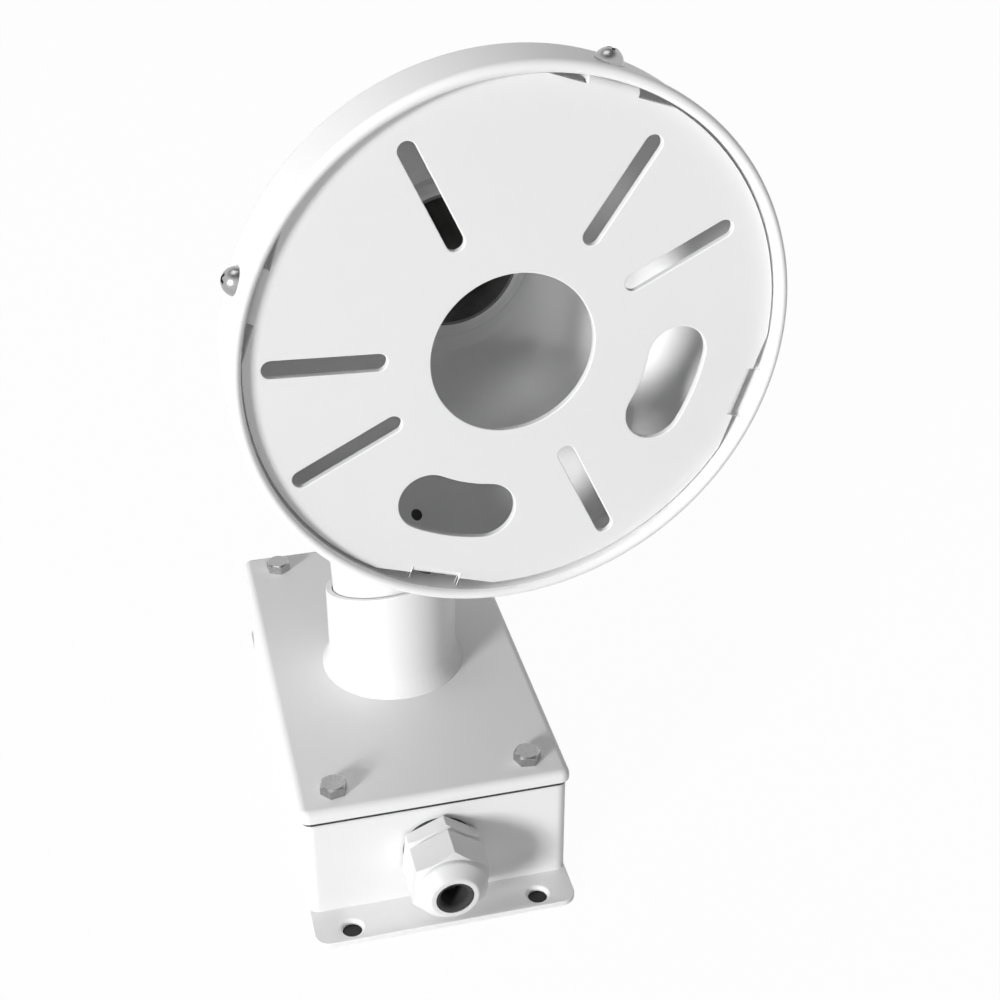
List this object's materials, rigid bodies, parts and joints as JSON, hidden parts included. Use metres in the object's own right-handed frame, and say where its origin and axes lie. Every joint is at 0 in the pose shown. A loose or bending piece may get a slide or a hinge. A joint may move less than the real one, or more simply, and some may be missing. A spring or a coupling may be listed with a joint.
{
  "type": "camera wall bracket",
  "caption": "Wall bracket for a surveillance camera: junction box with lid and cable gland, bent tube arm and a round housing with a slotted mounting plate.",
  "frame": {"origin": "centre of the wall plate's face that goes against the wall", "axes": "+Z out of the wall, X across the junction box, -Y towards the gland and the camera plate, which is down once mounted"},
  "size_m": [0.1388, 0.2327, 0.3019],
  "materials": {
    "white_coat": "satin",
    "zinc": "satin",
    "grey_plastic": "satin",
    "black_rubber": "matte"
  },
  "bodies": {
    "root": {"wall_plate": "white_coat", "box_shell": "white_coat", "lid": "white_coat", "arm_socket": "white_coat", "socket_weld": "white_coat", "arm_tube": "white_coat", "pan_shell": "white_coat", "neck_weld": "white_coat", "camera_plate": "white_coat", "lid_bolts": "zinc", "lid_bolt_nuts": "zinc", "tab_screws": "zinc", "tab_nuts": "zinc", "gland_body": "grey_plastic", "gland_dome_nut": "grey_plastic", "gland_locknut": "grey_plastic", "lid_gasket": "black_rubber", "gland_washer": "black_rubber", "gland_seal": "black_rubber", "drain_plug": "black_rubber"}
  },
  "joints": []
}
